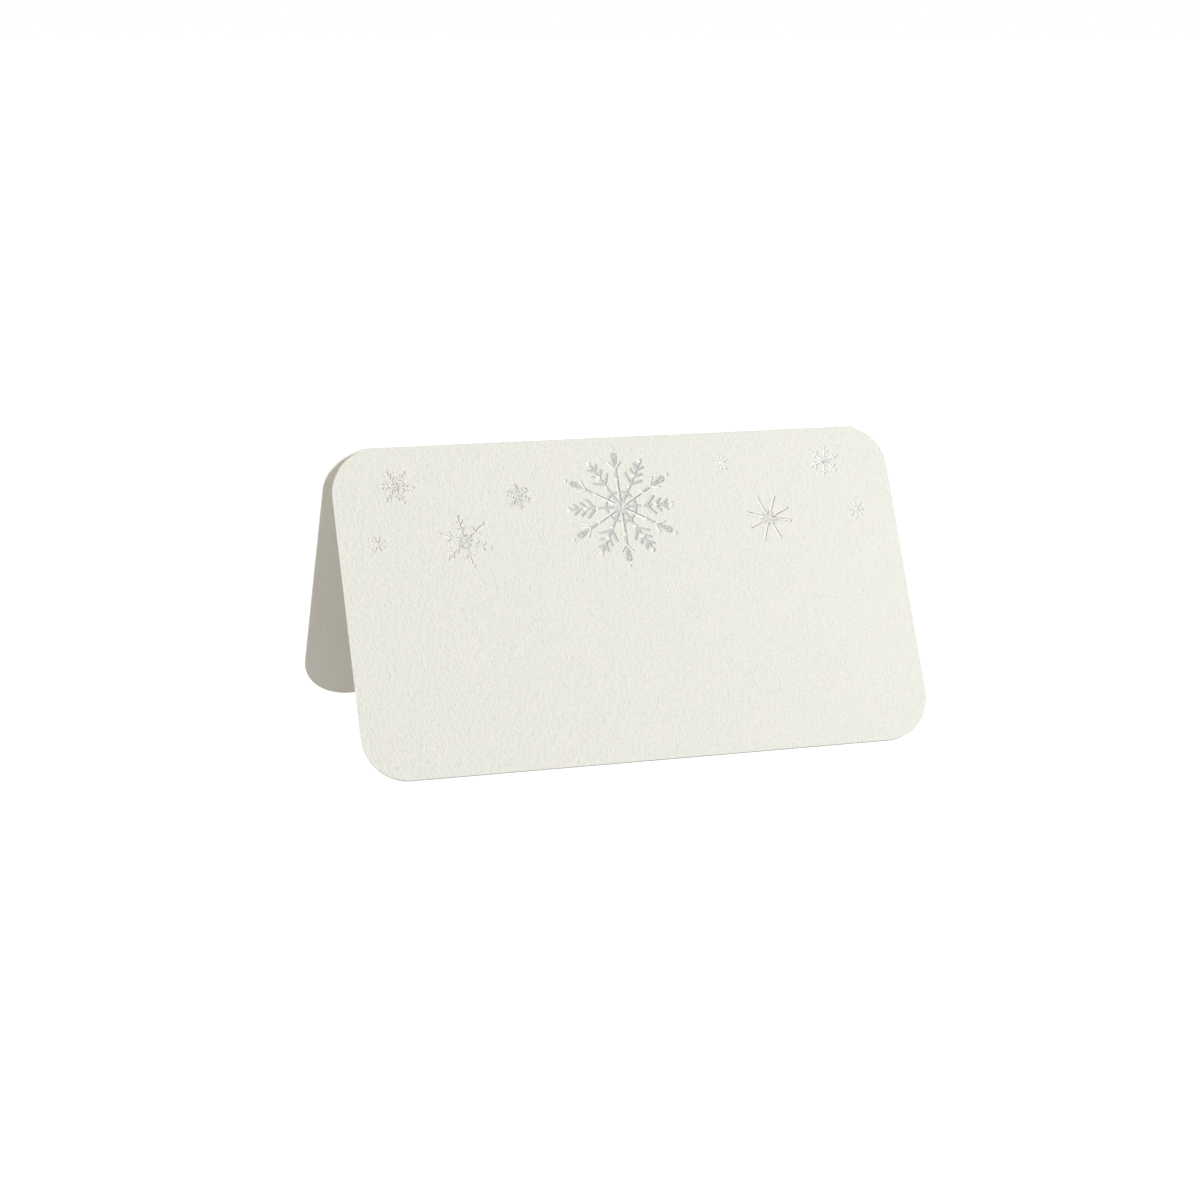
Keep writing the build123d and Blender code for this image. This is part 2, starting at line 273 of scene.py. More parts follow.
class ShapeTree(Group):
    """A Geometry Nodes tree that makes one kind of piece."""

    def __init__(self, name: str) -> None:
        """Starts an empty tree of that name."""
        super().__init__(name, "GeometryNodeTree")

    def position(self) -> Socket:
        """Each point's place."""
        return self.add("GeometryNodeInputPosition").outputs[0]

    def store(
        self, shape: Feed, name: str, value: Feed, data_type: str = "FLOAT", domain: str = "POINT"
    ) -> Socket:
        """Writes a named attribute.

        Args:
            shape: the geometry.
            name: the attribute's name.
            value: its value.
            data_type: its type.
            domain: what it is kept on.

        Returns:
            The geometry with the attribute.
        """
        feeds = {"Geometry": shape, "Name": name, "Value": value}
        node = self.add("GeometryNodeStoreNamedAttribute", feeds, data_type=data_type, domain=domain)
        return node.outputs[0]

    def named(self, name: str) -> Field:
        """Reads a named number."""
        node = self.add("GeometryNodeInputNamedAttribute", {"Name": name}, data_type="FLOAT")
        return self.out(node, "Attribute")

    def xyz(self) -> tuple[Field, Field, Field]:
        """Each point's place as three numbers."""
        return self.parts_of(self.position())

    def moved_to(self, shape: Feed, x: Feed, y: Feed, z: Feed) -> Socket:
        """The geometry with its points at new places."""
        feeds = {"Geometry": shape, "Position": self.vector(x, y, z)}
        return self.add("GeometryNodeSetPosition", feeds).outputs[0]

    def seated(self, shape: Feed) -> Socket:
        """Lays flat geometry on a leaf's face. The face's tilt and origin become inputs of the tree."""
        tilt, origin_y, origin_z = self.numbers("Tilt", "Origin Y", "Origin Z")
        origin = self.vector(0.0, origin_y, origin_z)
        feeds = {"Geometry": shape, "Translation": origin, "Rotation": self.vector(tilt)}
        return self.add("GeometryNodeTransform", feeds).outputs[0]

    def wander(self, spot: Feed, fineness: float, reach: Feed) -> list[Field]:
        """Smooth pushes along X and Y, read at a spot."""
        spots = (spot, self.vector_math("ADD", spot, FAR_OFF))
        return [(self.noise(each, fineness) - 0.5) * reach for each in spots]

    def joined(self, *shapes: Feed) -> Socket:
        """All the geometries as one."""
        node = self.add("GeometryNodeJoinGeometry")
        for shape in shapes:
            self.feed(node.inputs[0], shape)
        return node.outputs[0]

    def realized(self, shape: Feed) -> Socket:
        """Real geometry in place of instances."""
        return self.add("GeometryNodeRealizeInstances", {"Geometry": shape}).outputs[0]

    def instances(
        self, points: Feed, instance: Feed, rotation: Feed = (0, 0, 0), scale: Feed = (1, 1, 1)
    ) -> Socket:
        """Puts a geometry on each point, turned and sized."""
        feeds = {"Points": points, "Instance": instance, "Rotation": rotation, "Scale": scale}
        return self.add("GeometryNodeInstanceOnPoints", feeds).outputs[0]

    def finish(self, shape: Feed, sharp_above: Optional[float] = None) -> None:
        """Realizes the geometry, shades it, gives it the material that the tree takes, and puts it out.

        Args:
            shape: the geometry.
            sharp_above: the angle in degrees above which an edge stays sharp, or None for smooth all over.
        """
        shape = self.realized(shape)
        if sharp_above is not None:
            angle = self.out(self.add("GeometryNodeInputMeshEdgeAngle"), "Unsigned Angle")
            sharp = angle.above(math.radians(sharp_above))
            feeds = {"Geometry": shape, "Selection": sharp, "Shade Smooth": False}
            shape = self.add("GeometryNodeSetShadeSmooth", feeds, domain="EDGE").outputs[0]
        finish = self.takes("Material", Port.FINISH)
        shape = self.add("GeometryNodeSetMaterial", {"Geometry": shape, "Material": finish}).outputs[0]
        self.gives("Geometry", Port.SHAPE, shape)

    def apply(
        self, name: str, plan: bpy.types.Mesh, material: bpy.types.Material, **sizes: Feed
    ) -> bpy.types.Object:
        """Runs the tree on a plan, and keeps the result as a plain mesh.

        Args:
            name: the piece's name.
            plan: the mesh that the tree starts from.
            material: the piece's finish.
            sizes: the tree's other inputs, with underscores for the spaces in their names.

        Returns:
            The piece, with no modifier left.
        """
        piece = placed(name, plan)
        modifier = piece.modifiers.new(name, "NODES")
        modifier.node_group = self.tree
        wanted = {key.replace("_", " ").lower(): value for key, value in sizes.items()}
        wanted["material"] = material
        for item in self.tree.interface.items_tree:
            if item.item_type == "SOCKET" and item.in_out == "INPUT" and item.name.lower() in wanted:
                modifier[item.identifier] = wanted.pop(item.name.lower())
        if wanted:
            raise ValueError(f"the tree takes no input named {sorted(wanted)}")
        depsgraph = bpy.context.evaluated_depsgraph_get()
        depsgraph.update()
        evaluated = piece.evaluated_get(depsgraph)
        mesh = bpy.data.meshes.new_from_object(evaluated, preserve_all_data_layers=True, depsgraph=depsgraph)
        piece.modifiers.clear()
        piece.data = mesh
        mesh.name = name
        bpy.data.meshes.remove(plan)
        return piece


# Shader groups


class FeltMarks(Group):
    """Felt marks of a cover card: short leaning streaks, cloudy colour and a few specks."""

    COARSE_STRETCH = (3.0, 1.15, 1.0)
    FINE_STRETCH = (5.2, 3.4, 1.0)
    PILLOW_STRETCH = (0.9, 0.5, 1.0)
    CLOUDS_PER_MM = 0.16
    BLUSHES_PER_MM = 0.9
    SPECKS_PER_MM = 0.19
    SPECK_REACH = (0.032, 0.012)

    def __init__(self) -> None:
        """Builds the group. It reads a place on the sheet in millimetres."""
        super().__init__("Felt marks", "ShaderNodeTree")
        place = self.takes("Place", Port.VECTOR)
        (lean,) = self.numbers("Lean")
        rotated = self.add("ShaderNodeVectorRotate", {"Vector": place, "Angle": lean}, rotation_type="Z_AXIS")
        coarse_spot, fine_spot, pillow_spot = (
            self.vector_math("MULTIPLY", rotated.outputs[0], stretch)
            for stretch in (self.COARSE_STRETCH, self.FINE_STRETCH, self.PILLOW_STRETCH)
        )
        coarse = self.noise(coarse_spot, 1.0, 2.0, 0.55, 0.35)
        fine = self.noise(fine_spot, 1.0, 1.0, 0.5)
        pillow = self.noise(pillow_spot, 1.0, 1.0)
        self.gives("Height", Port.NUMBER, coarse * 0.7 + fine * 0.15 + pillow * 0.25)
        self.gives("Streak", Port.NUMBER, coarse)
        cloud = self.noise(self.scaled(place, self.CLOUDS_PER_MM), 1.0, 2.0, 0.6, 0.4)
        self.gives("Cloud", Port.NUMBER, cloud.between(0.3, 0.7))
        blush = self.noise(self.scaled(place, self.BLUSHES_PER_MM), 1.0, 2.0, 0.65)
        self.gives("Blush", Port.NUMBER, blush.between(0.35, 0.7))
        feeds = {"Vector": self.scaled(place, self.SPECKS_PER_MM), "Scale": 1.0, "Randomness": 1.0}
        speck = self.add("ShaderNodeTexVoronoi", feeds)
        self.gives("Speck", Port.NUMBER, self.out(speck, "Distance").between(*self.SPECK_REACH))


class Ripple(Group):
    """Uneven lie of a thin raised layer: low lumps and fine scratches."""

    def __init__(self) -> None:
        """Builds the group. It reads a place in metres."""
        super().__init__("Ripple", "ShaderNodeTree")
        place = self.takes("Place", Port.VECTOR)
        (lump_size,) = self.numbers("Lumps Per Millimetre")
        in_mm = self.scaled(place, 1 / MM)
        lumps = self.noise(self.scaled(in_mm, lump_size), 1.0, 2.0, 0.55)
        grit = self.noise(self.scaled(in_mm, lump_size * 5.0), 1.0, 2.0, 0.6)
        self.gives("Height", Port.NUMBER, lumps * 0.8 + grit * 0.2)
        self.gives("Sheen", Port.NUMBER, (lumps * 0.6 + grit * 0.4).between(0.3, 0.7))


# Finishes


class Finish(ABC):
    """A material of the object."""

    name: ClassVar[str]

    def start(self) -> tuple[Graph, bpy.types.Node, bpy.types.Material]:
        """Starts the material with a plain shader linked to its output."""
        material = bpy.data.materials.new(self.name)
        graph = emptied(material)
        shader = graph.add("ShaderNodeBsdfPrincipled")
        graph.add("ShaderNodeOutputMaterial", {"Surface": shader.outputs[0]})
        return graph, shader, material

    @staticmethod
    def group(graph: Graph, group: Group, feeds: Feeds) -> bpy.types.Node:
        """Places a shader group.

        Args:
            graph: the material's tree.
            group: the group.
            feeds: what goes into its inputs.

        Returns:
            The group's node.
        """
        node = graph.tree.nodes.new("ShaderNodeGroup")
        node.node_tree = group.tree
        for key, value in feeds.items():
            graph.feed(node.inputs[key], value)
        return node

    @staticmethod
    def blend(graph: Graph, share: Feed, first: Feed, second: Feed) -> Socket:
        """Mixes two colours by a share of the second."""
        node = graph.add("ShaderNodeMix", {"Factor": share, "A": first, "B": second}, data_type="RGBA")
        return graph.socket(node.outputs, "Result")

    @staticmethod
    def bump(graph: Graph, height: Feed, depth: float) -> Socket:
        """Normal of a surface whose height runs from zero to the depth, in metres."""
        return graph.add("ShaderNodeBump", {"Strength": 1.0, "Distance": depth, "Height": height}).outputs[0]

    @abstractmethod
    def make(self) -> bpy.types.Material:
        """Makes the material."""


@dataclass(frozen=True)
class CardStock(Finish):
    """Ivory felt-marked cover card, uncoated and smoother inside, with painted shade: warmer on its inner
    face and greyer where it is cut.
    """

    marks: FeltMarks
    ivory: Colour = (0.868, 0.860, 0.784)
    blush: Colour = (0.885, 0.852, 0.775)
    cloud: Colour = (0.845, 0.855, 0.772)
    speck: Colour = (0.62, 0.55, 0.47)
    # Painted shade: a warmer tone on the inner face, for the shade inside the fold.
    inner_face_painted_shade: Colour = (0.868, 0.832, 0.735)
    # Painted shade: a greyer tone on the cut edges, for the shade on edges turned from the light.
    cut_edge_painted_shade: Colour = (0.80, 0.80, 0.775)
    blush_share: float = 0.30
    cloud_share: float = 0.35
    speck_share: float = 0.35
    mark_lean: float = -0.46
    mark_depth: float = 0.26 * MM
    inner_smoothness: float = 0.85
    roughness: float = 0.76
    streak_roughness: float = 0.16
    specular: float = 0.25
    name: ClassVar[str] = "card_stock"

    def make(self) -> bpy.types.Material:
        """Makes the material."""
        graph, shader, material = self.start()
        sheet = graph.add("ShaderNodeUVMap", uv_map="sheet").outputs[0]
        marks = self.group(graph, self.marks, {"Place": graph.scaled(sheet, 1 / MM), "Lean": self.mark_lean})
        inner, cut = (
            graph.out(graph.add("ShaderNodeAttribute", attribute_name=name), "Fac")
            for name in ("inner_face", "cut_edge")
        )
        colour: Feed = (*self.ivory, 1)
        for share, tone in (
            (graph.out(marks, "Blush") * self.blush_share, self.blush),
            (graph.out(marks, "Cloud") * self.cloud_share, self.cloud),
            (graph.out(marks, "Speck") * self.speck_share, self.speck),
            # Painted shade on the inner face and on the cut edges.
            (inner, self.inner_face_painted_shade),
            (cut, self.cut_edge_painted_shade),
        ):
            colour = self.blend(graph, share, colour, (*tone, 1))
        graph.feed(shader.inputs["Base Color"], colour)
        roughness = graph.out(marks, "Streak") * self.streak_roughness + self.roughness
        graph.feed(shader.inputs["Roughness"], roughness)
        relief = graph.out(marks, "Height") * (inner * -self.inner_smoothness + 1.0)
        graph.feed(shader.inputs["Normal"], self.bump(graph, relief, self.mark_depth))
        shader.inputs["Specular IOR Level"].default_value = self.specular
        return material


@dataclass(frozen=True)
class RippledFinish(Finish):
    """A thin layer whose ripple moves its tone, its gloss and its lie."""

    ripple: Ripple
    dull: Colour = (0.92, 0.92, 0.90)
    bright: Colour = (0.92, 0.92, 0.90)
    lumps_per_mm: float = 3.0
    ripple_depth: float = 0.0
    roughness: float = 0.12
    sheen_roughness: float = 0.1
    constants: tuple[tuple[str, float], ...] = ()

    def tone(self, graph: Graph, sheen: Field) -> Feed:
        """The layer's colour, which follows its sheen."""
        return self.blend(graph, sheen, (*self.dull, 1), (*self.bright, 1))

    def make(self) -> bpy.types.Material:
        """Makes the material."""
        graph, shader, material = self.start()
        place = graph.add("ShaderNodeTexCoord").outputs["Object"]
        feeds = {"Place": place, "Lumps Per Millimetre": self.lumps_per_mm}
        ripple = self.group(graph, self.ripple, feeds)
        sheen = graph.out(ripple, "Sheen")
        graph.feed(shader.inputs["Base Color"], self.tone(graph, sheen))
        graph.feed(shader.inputs["Roughness"], sheen * self.sheen_roughness + self.roughness)
        if self.ripple_depth:
            lie = self.bump(graph, graph.out(ripple, "Height"), self.ripple_depth)
            graph.feed(shader.inputs["Normal"], lie)
        for name, value in self.constants:
            shader.inputs[name].default_value = value
        return material


@dataclass(frozen=True)
class SilverFoil(RippledFinish):
    """Satin silver foil."""

    dull: Colour = (0.65, 0.66, 0.64)
    bright: Colour = (0.74, 0.745, 0.725)
    lumps_per_mm: float = 1.6
    ripple_depth: float = 0.01 * MM
    roughness: float = 0.34
    sheen_roughness: float = 0.12
    constants: tuple[tuple[str, float], ...] = (("Metallic", 0.9),)
    name: ClassVar[str] = "silver_foil"


@dataclass(frozen=True)
class PearlInk(RippledFinish):
    """Raised pearl-white ink with a bright silvery sheen."""

    dull: Colour = (0.88, 0.87, 0.82)
    bright: Colour = (0.955, 0.945, 0.895)
    lumps_per_mm: float = 2.2
    ripple_depth: float = 0.014 * MM
    roughness: float = 0.25
    sheen_roughness: float = -0.06
    constants: tuple[tuple[str, float], ...] = (("Metallic", 0.75),)
    name: ClassVar[str] = "pearl_ink"


@dataclass(frozen=True)
class PearlInkPaintedShade(PearlInk):
    """Pearl ink in darker tones: painted shade for the prints on the left, where the light is weaker."""

    # Painted shade: darker tones for the prints on the left.
    dull: Colour = (0.81, 0.80, 0.745)
    bright: Colour = (0.88, 0.87, 0.815)
    name: ClassVar[str] = "pearl_ink_painted_shade"


@dataclass(frozen=True)
class PearlInkPaintedLight(PearlInk):
    """Pearl ink that is whiter and less like a mirror: painted light for the prints on the right, where the
    light is stronger.
    """

    # Painted light: whiter tones for the prints on the right.
    dull: Colour = (0.93, 0.93, 0.90)
    bright: Colour = (0.95, 0.95, 0.93)
    constants: tuple[tuple[str, float], ...] = (("Metallic", 0.52),)
    name: ClassVar[str] = "pearl_ink_painted_light"


@dataclass(frozen=True)
class FleckFilm(RippledFinish):
    """Iridescent film flecks, each in a tone of its own."""

    tones: tuple[tuple[float, Colour], ...] = (
        (0.00, (0.90, 0.88, 0.92)),
        (0.28, (0.95, 0.95, 0.90)),
        (0.56, (0.86, 0.87, 0.88)),
        (0.68, (0.76, 0.71, 0.82)),
        (0.74, (0.82, 0.76, 0.52)),
        (0.79, (0.62, 0.72, 0.58)),
        (0.84, (0.78, 0.85, 0.87)),
        (0.92, (0.46, 0.46, 0.26)),
        (0.965, (0.52, 0.27, 0.25)),
    )
    lumps_per_mm: float = 4.0
    roughness: float = 0.2
    sheen_roughness: float = 0.12
    constants: tuple[tuple[str, float], ...] = (("Metallic", 0.12), ("Coat Weight", 0.5))
    name: ClassVar[str] = "glitter_film"

    def tone(self, graph: Graph, sheen: Field) -> Feed:
        """The colour of each fleck.

        Args:
            graph: the material's tree.
            sheen: the layer's sheen, which doesn't change the colour here.

        Returns:
            The colour.
        """
        fleck = graph.add("ShaderNodeAttribute", attribute_name="fleck_tone").outputs["Fac"]
        ramp = graph.add("ShaderNodeValToRGB", {"Fac": fleck})
        ramp.color_ramp.interpolation = "CONSTANT"
        stops = ramp.color_ramp.elements
        while len(stops) < len(self.tones):
            stops.new(1.0)
        for stop, (place, colour) in zip(stops, self.tones):
            stop.position = place
            stop.color = (*colour, 1)
        return ramp.outputs["Color"]


@dataclass(frozen=True)
class ClearGlue(RippledFinish):
    """Thin drop of clear glue."""

    ripple_depth: float = 0.02 * MM
    constants: tuple[tuple[str, float], ...] = (("Alpha", 0.35),)
    name: ClassVar[str] = "clear_glue"

    def tone(self, graph: Graph, sheen: Field) -> Feed:
        """One colour all over."""
        return (*self.bright, 1)


# The folded sheet


def arc_inset(graph: Graph, distance: Feed, radius: Feed) -> Field:
    """How far a rounded corner draws the side in.

    Args:
        graph: the tree.
        distance: along the side, from the end that the corner is at.
        radius: the corner's radius.

    Returns:
        The inset, zero beyond the corner.
    """
    radius = radius if isinstance(radius, Field) else Field(graph, radius)
    rise = (radius - distance).at_least(0.0)
    return radius - (radius * radius - rise * rise).at_least(0.0).root()


class SheetTree(ShapeTree):
    """A sheet with rounded corners, with a wall all round, bent over one fold."""

    ROW_CROWDING = 0.9

    def __init__(self) -> None:
        """Builds the tree. All lengths are in metres."""
        super().__init__("Folded sheet")
        self.takes("Plan", Port.SHAPE)
        width, leaf_height, thickness = self.numbers("Width", "Leaf Height", "Thickness")
        inner_radius, lean, softening = self.numbers("Inner Radius", "Lean", "Edge Softening")
        corners = {
            (end, side): self.takes(f"{end} {side} Radius", Port.NUMBER)
            for end in ("Fold", "Front Foot", "Back Foot")
            for side in ("Left", "Right")
        }
        columns, rows = self.takes("Columns", Port.COUNT), self.takes("Rows", Port.COUNT)

        feeds = {"Size X": 1.0, "Size Y": 2.0, "Vertices X": columns, "Vertices Y": rows}
        grid = self.add("GeometryNodeMeshGrid", feeds).outputs[0]
        slab, top = grid, True
        for step in (softening, thickness - softening * 2.0, softening):
            feeds = {"Mesh": slab, "Selection": top, "Offset Scale": step, "Individual": False}
            extrusion = self.add("GeometryNodeExtrudeMesh", feeds, mode="FACES")
            slab, top = extrusion.outputs["Mesh"], extrusion.outputs["Top"]
        under = self.add("GeometryNodeFlipFaces", {"Mesh": grid}).outputs[0]
        feeds = {"Geometry": self.joined(slab, under), "Distance": 1e-6}
        slab = self.add("GeometryNodeMergeByDistance", feeds).outputs[0]

        across, along, level = self.xyz()
        half = thickness / 2.0
        above_middle = level - half
        in_wall = (half - softening * 0.5).above(above_middle.size())
        # The cut edges get painted shade in the card's finish.
        slab = self.store(slab, "cut_edge", in_wall, domain="FACE")
        # The inner face gets painted shade in the card's finish, and smoother felt marks.
        in_inner_face = (above_middle * -1.0).above(half - softening * 0.25)
        slab = self.store(slab, "inner_face", in_inner_face, domain="FACE")
        drawn_in = softening * above_middle.size().above(half - softening * 0.5)

        leaf = along.sign()
        share = along.size()
        share = share - (share * math.tau).sine() * (self.ROW_CROWDING / math.tau)
        foot_end = leaf_height - drawn_in
        down = share * foot_end
        is_back = leaf.above(0.0)
        insets = []
        for side in ("Left", "Right"):
            front, back = corners["Front Foot", side], corners["Back Foot", side]
            foot_radius = front + (back - front) * is_back - drawn_in
            foot = arc_inset(self, foot_end - down, foot_radius)
            insets.append(arc_inset(self, down, corners["Fold", side]) + foot + drawn_in)
        left, right = insets
        x = width * -0.5 + left + (across + 0.5) * (width - left - right)
        slab = self.store(slab, "sheet", self.vector(x, leaf * down), "FLOAT2", "CORNER")

        middle_radius = inner_radius + half
        turn = (lean - math.pi / 2) * -1.0
        bend = middle_radius * turn
        angle = down.at_most(bend) / middle_radius
        past = (down - bend).at_least(0.0)
        radius = middle_radius + above_middle
        centre_height = (leaf_height - bend) * lean.cosine() - inner_radius * lean.sine()
        y = leaf * (radius * angle.sine() + past * lean.sine())
        z = centre_height + radius * angle.cosine() - past * lean.cosine()
        self.finish(self.moved_to(slab, x, y, z), sharp_above=30)


@dataclass(frozen=True)
class Card:
    """The sheet, folded once into a tent. Millimetres and degrees."""

    width: float = 88.9
    leaf_height: float = 50.8
    thickness: float = 0.42
    inner_radius: float = 0.3
    lean: float = 28.85
    edge_softening: float = 0.035
    fold_radii: tuple[float, float] = (7.5, 6.5)
    front_foot_radii: tuple[float, float] = (6.8, 7.5)
    back_foot_radii: tuple[float, float] = (7.8, 7.5)
    columns: int = 49
    rows: int = 241

    def build(self, material: bpy.types.Material) -> bpy.types.Object:
        """Builds the sheet in its finish."""
        names = ("width", "leaf_height", "thickness", "inner_radius", "edge_softening")
        lengths = {name: getattr(self, name) * MM for name in names}
        for end in ("fold", "front_foot", "back_foot"):
            left, right = getattr(self, f"{end}_radii")
            lengths |= {f"{end}_left_radius": left * MM, f"{end}_right_radius": right * MM}
        others = {"lean": math.radians(self.lean), "rows": self.rows, "columns": self.columns}
        plan = bpy.data.meshes.new("card_plan")
        return SheetTree().apply("card_sheet", plan, material, **lengths, **others)

    def face_origin(self) -> Vector:
        """Where the fold line would lie flat on the front leaf's outer face, in metres."""
        lean = math.radians(self.lean)
        bend = (self.inner_radius + self.thickness / 2) * (math.pi / 2 - lean)
        outer = self.inner_radius + self.thickness
        centre_height = (self.leaf_height - bend) * math.cos(lean) - self.inner_radius * math.sin(lean)
        y = -outer * math.cos(lean) + bend * math.sin(lean)
        z = centre_height + outer * math.sin(lean) + bend * math.cos(lean)
        return Vector((0, y, z)) * MM

    def face_place(self, across_share: float, down_share: float) -> tuple[float, float]:
        """A place on the front face in millimetres, from shares of half the width and of the height."""
        return across_share * self.width / 2, -down_share * self.leaf_height


# Raised print


@dataclass
class Arm:
    """Drawing of one arm, repeated around a centre. X runs outwards along the arm, in millimetres."""

    count: int = 6
    turn: float = 0.0
    strokes: list[tuple[Point, Point, float]] = field(default_factory=list)
    beads: list[tuple[Point, float]] = field(default_factory=list)
    loops: list[tuple[list[Point], float]] = field(default_factory=list)

    def stroke(self, start: Point, end: Point, width: float) -> None:
        """Adds a straight stroke with round ends."""
        self.strokes.append((start, end, width))

    def bead(self, along: float, radius: float, across: float = 0.0) -> None:
        """Adds a round dot."""
        self.beads.append(((along, across), radius))

    def ring(self, radius: float, sides: int, width: float, along: float = 0.0) -> None:
        """Adds a ring.

        Args:
            radius: of the ring's middle line.
            sides: how many straight pieces it has.
            width: of the ring.
            along: how far out its centre lies.
        """
        step = 2 * math.pi / sides
        corners = [(along + radius * math.cos(step * i), radius * math.sin(step * i)) for i in range(sides)]
        self.loops.append((corners, width))

    def forks(self, reach: float, shares: Shares, width: float) -> None:
        """Adds pairs of side branches that slant outwards.

        Args:
            reach: the length that the shares are of.
            shares: root and tip along the arm, and spread to each side.
            width: the strokes' width.
        """
        for root, tip, spread in shares:
            for side in (-1, 1):
                self.stroke((root * reach, 0), (tip * reach, side * spread * reach), width)

    def plan(self) -> bpy.types.Mesh:
        """The drawing as a mesh: loose points for beads, loose edges for strokes, rings for loops.

        Returns:
            The mesh, with the width at each point.
        """
        points: list[tuple[float, float, float]] = []
        edges: list[tuple[int, int]] = []
        widths: list[float] = []
        for start, end, width in self.strokes:
            first, last = Vector((*start, 0.0)), Vector((*end, 0.0))
            past = (last - first).normalized() * width / 2
            edges.append((len(points), len(points) + 1))
            points += [tuple(first - past), tuple(last + past)]
            widths += [width, width]
        for place, radius in self.beads:
            points.append((*place, 0.0))
            widths.append(2 * radius)
        for loop, width in self.loops:
            start = len(points)
            points += [(*place, 0.0) for place in loop]
            widths += [width] * len(loop)
            edges += [(start + i, start + (i + 1) % len(loop)) for i in range(len(loop))]
        mesh = bpy.data.meshes.new("arm_plan")
        mesh.from_pydata([[v * MM for v in point] for point in points], edges, [])
        stored = mesh.attributes.new("stroke_width", "FLOAT", "POINT")
        stored.data.foreach_set("value", [width * MM for width in widths])
        return mesh


class ReliefTree(ShapeTree):
    """Rounded ridges and domes on the lines and points of an arm, repeated around a centre on the leaf."""

    WAVER_FINENESS = 1.8
    LUMP_FINENESS = 2.6
    SINK = 0.004 * MM
    TUBE_SIDES = 12
    BALL_SIDES = 20

    def __init__(self) -> None:
        """Builds the tree. All lengths are in metres and angles in radians."""
        super().__init__("Raised print")
        plan, count = self.takes("Plan", Port.SHAPE), self.takes("Arms", Port.COUNT)
        turn, height, step, waver = self.numbers("Turn", "Height", "Step", "Waver")
        crown, bead_crown, unevenness = self.numbers("Crown", "Bead Crown", "Unevenness")
        across, upwards = self.numbers("Across", "Upwards")

        ridges = self.crowned(self.ridges(plan, step), crown)
        beads = self.crowned(self.beads(plan), bead_crown)
        hub = self.add("GeometryNodeMeshLine", {"Count": count, "Offset": (0, 0, 0)}).outputs[0]
        number = self.out(self.add("GeometryNodeInputIndex"))
        spin = self.vector(0.0, 0.0, number * math.tau / count + turn)
        whole = self.realized(self.instances(hub, self.joined(ridges, beads), spin))

        spot = self.scaled(self.vector_math("ADD", self.position(), self.vector(across, upwards)), 1 / MM)
        x, y, z = self.xyz()
        push_x, push_y = self.wander(spot, self.WAVER_FINENESS, waver)
        lump = self.noise(spot, self.LUMP_FINENESS) - 0.5
        z = z * height * (lump * unevenness + 1.0) - self.SINK
        whole = self.moved_to(whole, x + across + push_x, y + upwards + push_y, z)
        self.finish(self.seated(whole), sharp_above=60)

    def ridges(self, plan: Feed, step: Feed) -> Socket:
        """Round tubes with round ends along the plan's lines, one high at their middle.

        Args:
            plan: the drawing.
            step: the distance between the tubes' rings.

        Returns:
            The tubes.
        """
        lines = self.add("GeometryNodeMeshToCurve", {"Mesh": plan}).outputs[0]
        feeds = {"Curve": lines, "Length": step}
        lines = self.add("GeometryNodeResampleCurve", feeds, mode="LENGTH").outputs[0]
        lines = self.add("GeometryNodeSetCurveNormal", {"Curve": lines}, mode="Z_UP").outputs[0]
        half = self.named("stroke_width") * 0.5
        along = self.out(self.add("GeometryNodeSplineParameter"), "Length")
        length = self.out(self.add("GeometryNodeSplineLength"), "Length")
        closed = self.out(self.add("GeometryNodeInputSplineCyclic"))
        to_end = (along.at_most(length - along) / half + closed).at_most(1.0)
        swell = (to_end * (to_end * -1.0 + 2.0)).root().at_least(0.03)
        feeds = {"Resolution": self.TUBE_SIDES, "Radius": 1.0}
        profile = self.add("GeometryNodeCurvePrimitiveCircle", feeds).outputs[0]
        feeds = {"Curve": lines, "Profile Curve": profile, "Scale": half * swell, "Fill Caps": True}
        tubes = self.add("GeometryNodeCurveToMesh", feeds).outputs[0]
        x, y, z = self.xyz()
        return self.moved_to(tubes, x, y, z / half)

    def beads(self, plan: Feed) -> Socket:
        """Balls on the plan's lone points, one high."""
        neighbours = self.out(self.add("GeometryNodeInputMeshVertexNeighbors"), "Vertex Count")
        feeds = {"Mesh": plan, "Selection": (neighbours * -1.0 + 0.5).above(0.0)}
        dots = self.add("GeometryNodeMeshToPoints", feeds, mode="VERTICES").outputs[0]
        feeds = {"Segments": self.BALL_SIDES, "Rings": self.BALL_SIDES // 2, "Radius": 1.0}
        ball = self.add("GeometryNodeMeshUVSphere", feeds).outputs[0]
        flat = self.scaled((0.5, 0.5, 0.0), self.named("stroke_width"))
        size = self.vector_math("ADD", flat, (0.0, 0.0, 1.0))
        return self.realized(self.instances(dots, ball, scale=size))

    def crowned(self, shape: Feed, crown: Feed) -> Socket:
        """Flattens the underside. A crown of 1 makes the top an ellipse, and one of 2 a parabola."""
        x, y, z = self.xyz()
        return self.moved_to(shape, x, y, z.at_least(0.0) ** crown)


@dataclass(frozen=True)
class Leaf:
    """The front leaf's face, which carries the print."""

    card: Card

    def seat(self) -> dict[str, float]:
        """The leaf's tilt and origin, as inputs of a tree."""
        origin = self.card.face_origin()
        return {"tilt": math.radians(90 - self.card.lean), "origin_y": origin.y, "origin_z": origin.z}


